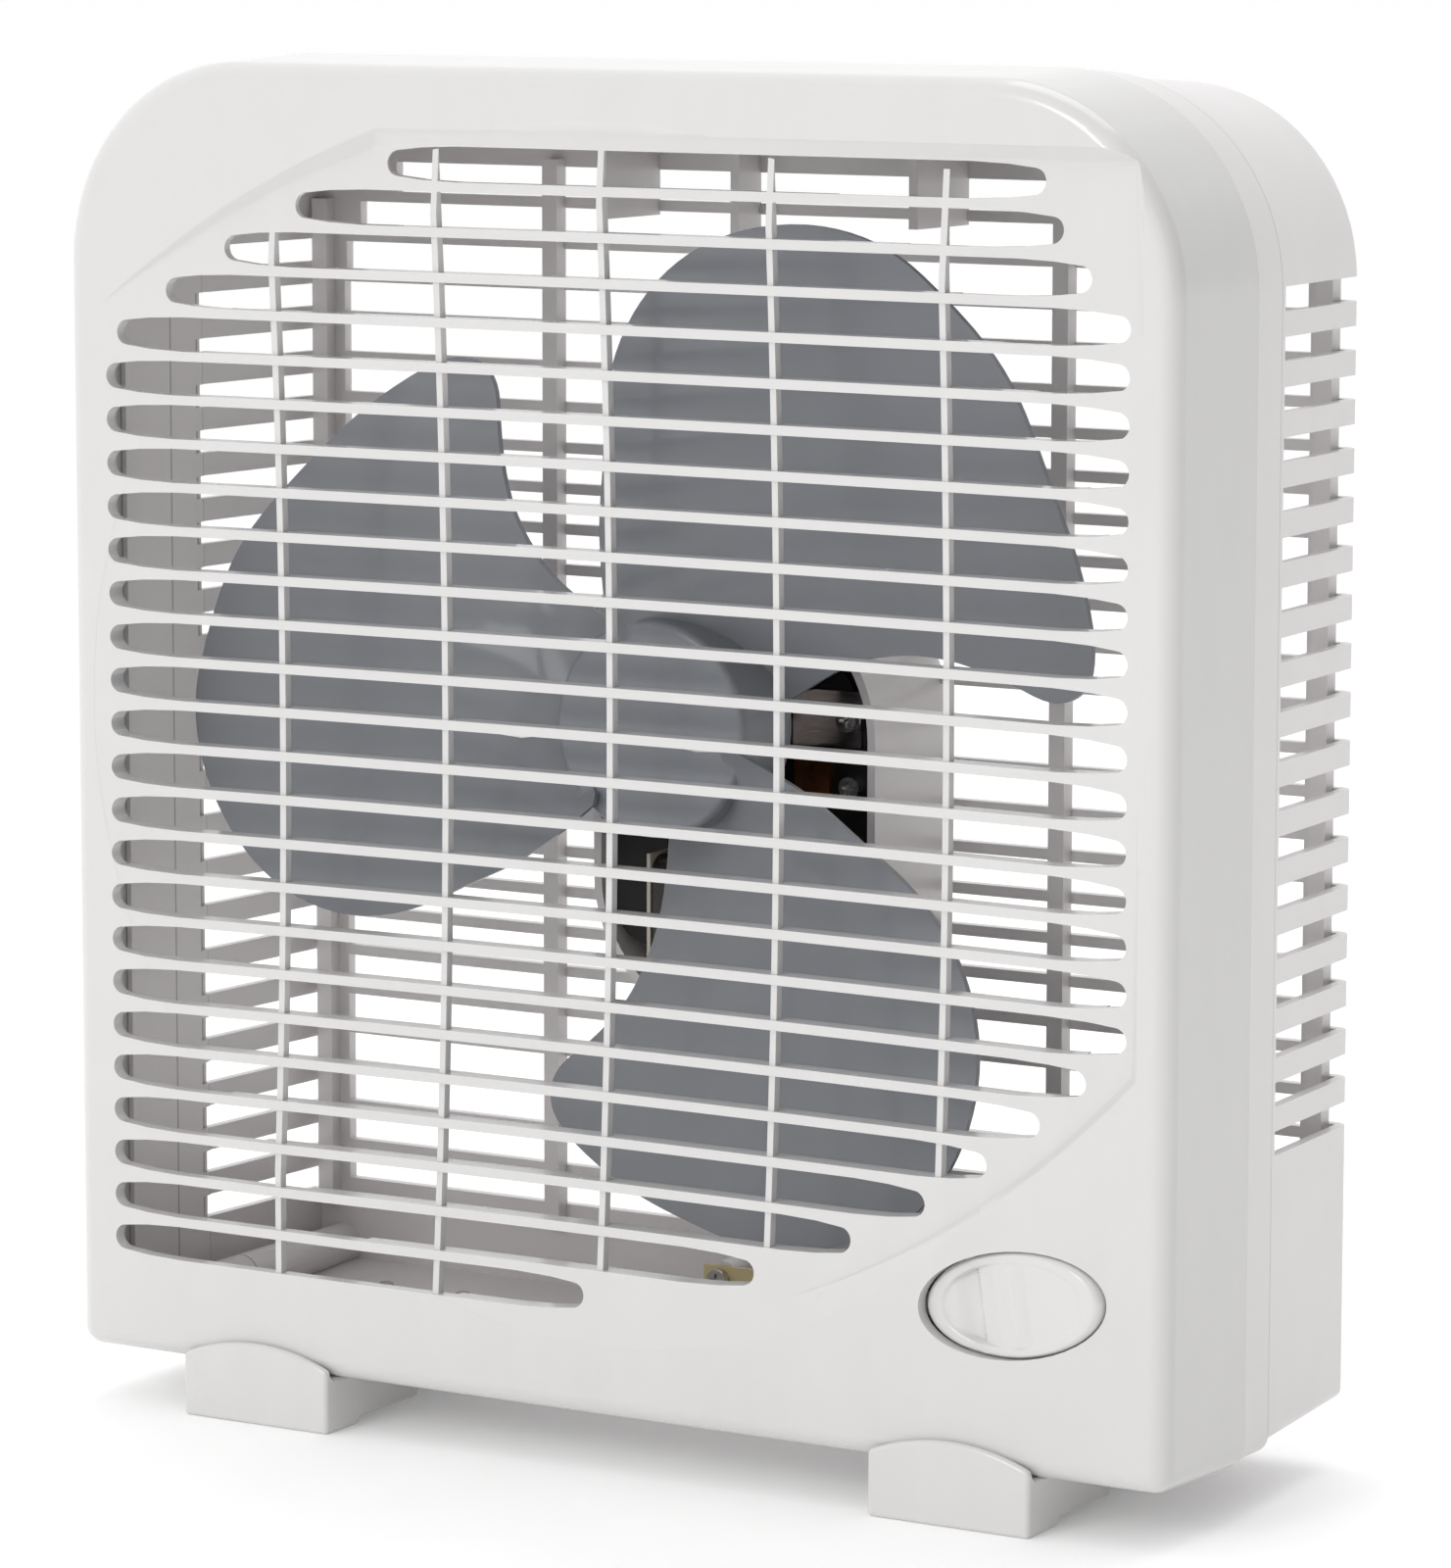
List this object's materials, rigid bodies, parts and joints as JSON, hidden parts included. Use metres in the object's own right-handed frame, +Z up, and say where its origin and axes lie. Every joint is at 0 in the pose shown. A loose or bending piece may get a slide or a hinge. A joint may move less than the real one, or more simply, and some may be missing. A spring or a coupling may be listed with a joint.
{
  "type": "box fan",
  "caption": "Free-standing box fan: flat plastic case, slotted front grille over a bladed rotor on a shaded-pole motor, oval rocker switch, two low feet.",
  "frame": {"origin": "on the ground, under the middle of the case and its feet", "axes": "+X to the right seen from the front, +Y to the rear, +Z up"},
  "size_m": [0.316, 0.1065, 0.3435],
  "materials": {
    "case_white": "gloss",
    "case_grey": "satin",
    "steel": "bright zinc",
    "lamination": "varnished",
    "copper": "bare copper",
    "bobbin": "matte",
    "coil_tape": "tape",
    "zinc": "zinc plated",
    "bronze": "sintered",
    "blade_plastic": "satin",
    "shaft_steel": "ground",
    "nylon": "matte",
    "switch_white": "gloss",
    "switch_body": "matte",
    "brass": "bright",
    "lead_black": "pvc",
    "lead_white": "pvc",
    "rubber_black": "matte"
  },
  "bodies": {
    "case": {"front_cover": "case_white", "rear_housing": "case_grey", "left_foot": "case_white", "right_foot": "case_white", "housing_screws": "steel", "foot_screws": "steel", "stator_core": "lamination", "shading_rings": "copper", "coil_bobbin": "bobbin", "coil_winding": "coil_tape", "thermal_fuse": "coil_tape", "front_bracket": "zinc", "rear_bracket": "zinc", "front_bearing": "bronze", "rear_bearing": "bronze", "bracket_screws": "steel", "mount_screws": "steel", "core_rivets": "steel", "switch_housing": "switch_body", "rocker_pin": "shaft_steel", "switch_terminals": "brass", "switch_screws": "steel", "switch_lead": "lead_black", "supply_lead": "lead_white", "return_lead": "lead_white", "cord_grommet": "rubber_black", "lead_clamp": "nylon", "clamp_screw": "steel"},
    "rotor": {"fan_blade": "blade_plastic", "motor_shaft": "shaft_steel", "rotor_core": "lamination", "thrust_washers": "nylon", "hub_clip": "shaft_steel"},
    "rocker": {"rocker_cap": "switch_white", "switch_plunger": "nylon"},
    "contact": {"contact_arm": "copper"}
  },
  "joints": [
    {"name": "rotor_spin", "type": "hinge", "parent": "case", "child": "rotor", "pos_m": [0, 0, 0.181], "axis": [0, 1, 0], "continuous": true},
    {"name": "rocker_tilt", "type": "hinge", "parent": "case", "child": "rocker", "pos_m": [0.1156, -0.04625, 0.055], "axis": [-0.1478, 0, 0.989], "range_deg": [0, 12]},
    {"name": "contact_tilt", "type": "hinge", "parent": "case", "child": "contact", "pos_m": [0.1156, -0.03375, 0.055], "axis": [-0.1478, 0, 0.989], "range_deg": [-12, 0]}
  ],
  "couplings": [
    {"joint": "contact_tilt", "follows": "rocker_tilt", "ratio": -1}
  ]
}
